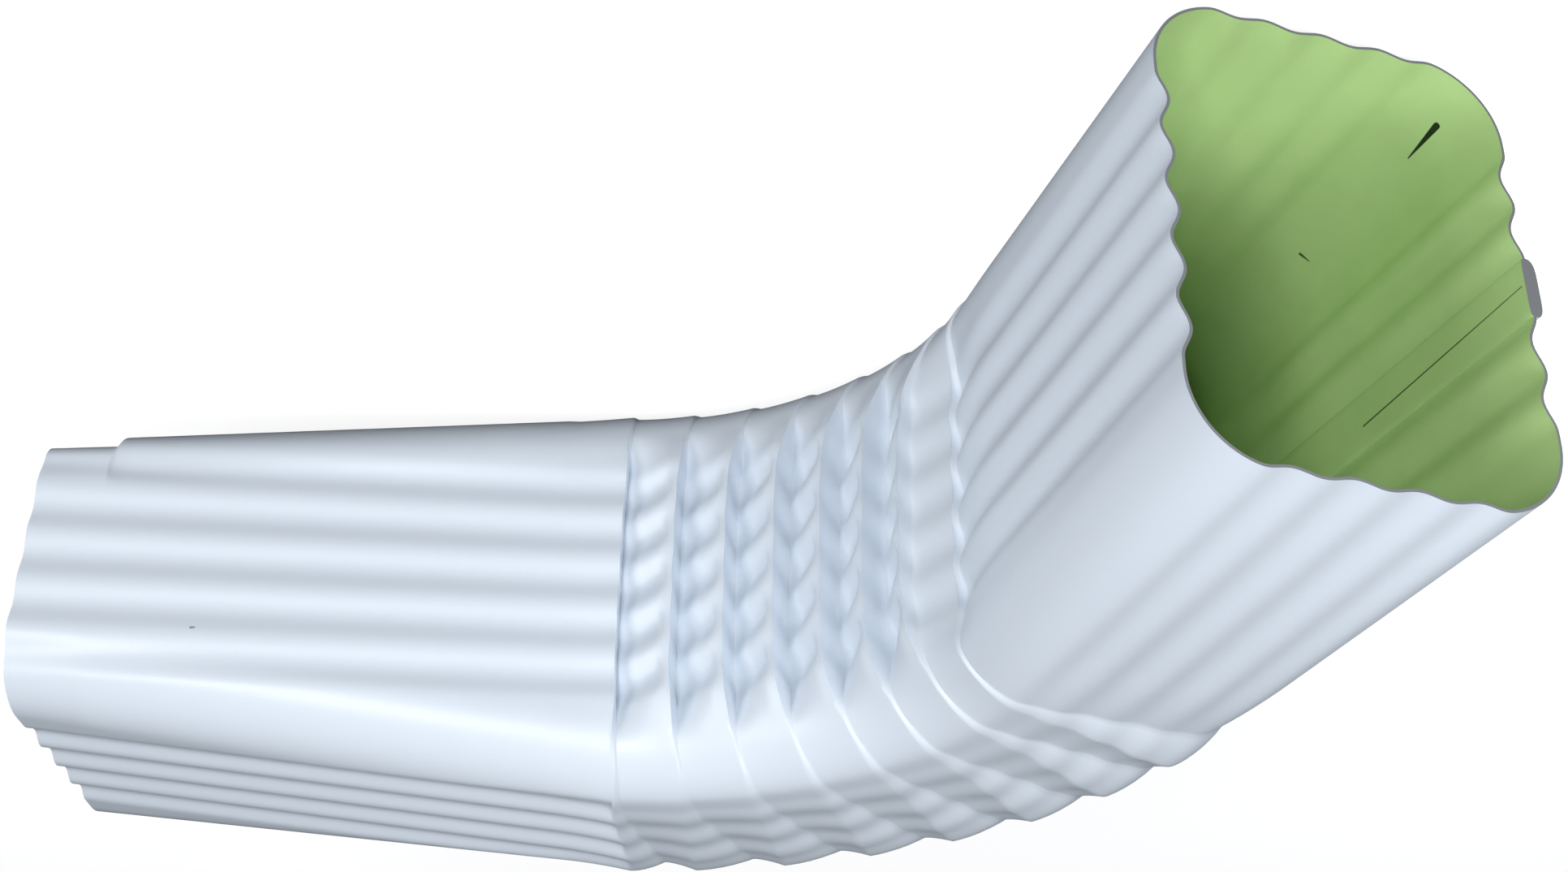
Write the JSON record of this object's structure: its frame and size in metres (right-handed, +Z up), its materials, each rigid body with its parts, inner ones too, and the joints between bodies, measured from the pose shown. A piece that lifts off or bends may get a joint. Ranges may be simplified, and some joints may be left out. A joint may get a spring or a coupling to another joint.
{
  "type": "downspout elbow",
  "caption": "Crimped rectangular downspout elbow of ribbed white sheet, turning a roof drain and changing its wide side from the front to the side.",
  "frame": {"origin": "under the middle of the elbow's box, on the surface that it lies on", "axes": "the elbow lies on one side wall: -X out of the outlet, +Y on the throat side of the outlet leg, which the inlet leg turns towards, +Z up"},
  "size_m": [0.2636, 0.1944, 0.0876],
  "materials": {
    "coil_paint": "gloss white coil paint outside, pale green wash coat inside, bare cut edges"
  },
  "bodies": {
    "root": {"elbow_shell": "coil_paint"}
  },
  "joints": []
}
